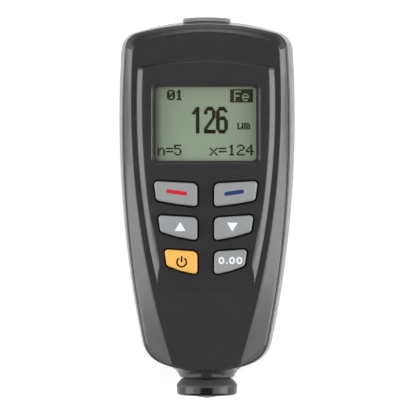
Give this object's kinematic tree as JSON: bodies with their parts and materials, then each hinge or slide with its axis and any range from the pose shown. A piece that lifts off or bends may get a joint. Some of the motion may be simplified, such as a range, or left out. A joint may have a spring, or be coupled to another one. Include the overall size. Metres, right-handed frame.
{
  "type": "coating thickness gauge",
  "caption": "Hand-held coating thickness gauge with a display, rubber keys, a spring-mounted probe in a sleeve, a port flap and a battery door.",
  "frame": {"origin": "centre of the bounding box in X and Y, on the flat of the back", "axes": "+X right as the face is read, +Y along the length towards the port, +Z out of the face"},
  "size_m": [0.0536, 0.1156, 0.027],
  "materials": {
    "case": "satin moulded black",
    "screw": "plated steel",
    "lens": "clear acrylic",
    "lcd": "grey-green reflective panel",
    "white_plastic": "moulded white",
    "black_rubber": "soft black",
    "mat_rubber": "silicone",
    "key_grey": "satin grey",
    "key_amber": "satin amber",
    "board": "green solder mask",
    "chip": "moulded black",
    "grey_rubber": "soft grey",
    "cell": "wrapped steel",
    "sleeve": "gloss black",
    "plunger": "dark satin",
    "iron": "hardened tip",
    "bobbin": "natural nylon",
    "copper": "enamelled copper",
    "brass": "turned brass",
    "lead": "insulated wire"
  },
  "bodies": {
    "case": {"front_cover": "case", "rear_cover": "case", "case_screws": "screw", "board_screws": "screw", "usb_socket": "screw", "battery_springs": "screw", "battery_plates": "screw", "probe_spring": "screw", "display_lens": "lens", "lcd_panel": "lcd", "lcd_backlight": "white_plastic", "display_holder": "white_plastic", "display_gasket": "black_rubber", "zebra_strips": "black_rubber", "probe_seal": "black_rubber", "keypad_mat": "mat_rubber", "main_board": "board", "board_chips": "chip", "buzzer": "chip", "battery_left": "cell", "battery_right": "cell", "probe_sleeve": "sleeve", "sleeve_nut": "brass", "spring_retainer": "brass", "probe_lead": "lead"},
    "soft_left_key": {"key_soft_left": "key_grey"},
    "soft_right_key": {"key_soft_right": "key_grey"},
    "up_key": {"key_up": "key_grey"},
    "down_key": {"key_down": "key_grey"},
    "power_key": {"key_power": "key_amber"},
    "zero_key": {"key_zero": "key_grey"},
    "probe": {"probe_plunger": "plunger", "probe_core": "iron", "probe_bobbin": "bobbin", "probe_coil": "copper"},
    "usb_flap": {"usb_cover": "grey_rubber"},
    "door": {"battery_door": "case"}
  },
  "joints": [
    {"name": "soft_left_press", "type": "slide", "parent": "case", "child": "soft_left_key", "axis": [0, 0, -1], "range_m": [0, 0.001], "stiffness_N_per_m": 250, "deforming": ["keypad_mat"]},
    {"name": "soft_right_press", "type": "slide", "parent": "case", "child": "soft_right_key", "axis": [0, 0, -1], "range_m": [0, 0.001], "stiffness_N_per_m": 250, "deforming": ["keypad_mat"]},
    {"name": "up_press", "type": "slide", "parent": "case", "child": "up_key", "axis": [0, 0, -1], "range_m": [0, 0.001], "stiffness_N_per_m": 250, "deforming": ["keypad_mat"]},
    {"name": "down_press", "type": "slide", "parent": "case", "child": "down_key", "axis": [0, 0, -1], "range_m": [0, 0.001], "stiffness_N_per_m": 250, "deforming": ["keypad_mat"]},
    {"name": "power_press", "type": "slide", "parent": "case", "child": "power_key", "axis": [0, 0, -1], "range_m": [0, 0.001], "stiffness_N_per_m": 250, "deforming": ["keypad_mat"]},
    {"name": "zero_press", "type": "slide", "parent": "case", "child": "zero_key", "axis": [0, 0, -1], "range_m": [0, 0.001], "stiffness_N_per_m": 250, "deforming": ["keypad_mat"]},
    {"name": "probe_press", "type": "slide", "parent": "case", "child": "probe", "axis": [0, 1, 0], "range_m": [0, 0.001], "stiffness_N_per_m": 500, "deforming": ["probe_spring"]},
    {"name": "usb_flap_hinge", "type": "hinge", "parent": "case", "child": "usb_flap", "pos_m": [0, 0.05675, 0.0086], "axis": [-1, 0, 0], "range_deg": [0, 95]},
    {"name": "battery_door_hinge", "type": "hinge", "parent": "case", "child": "door", "pos_m": [0, -0.0215, 0.0011], "axis": [-1, 0, 0], "range_deg": [0, 85]}
  ]
}
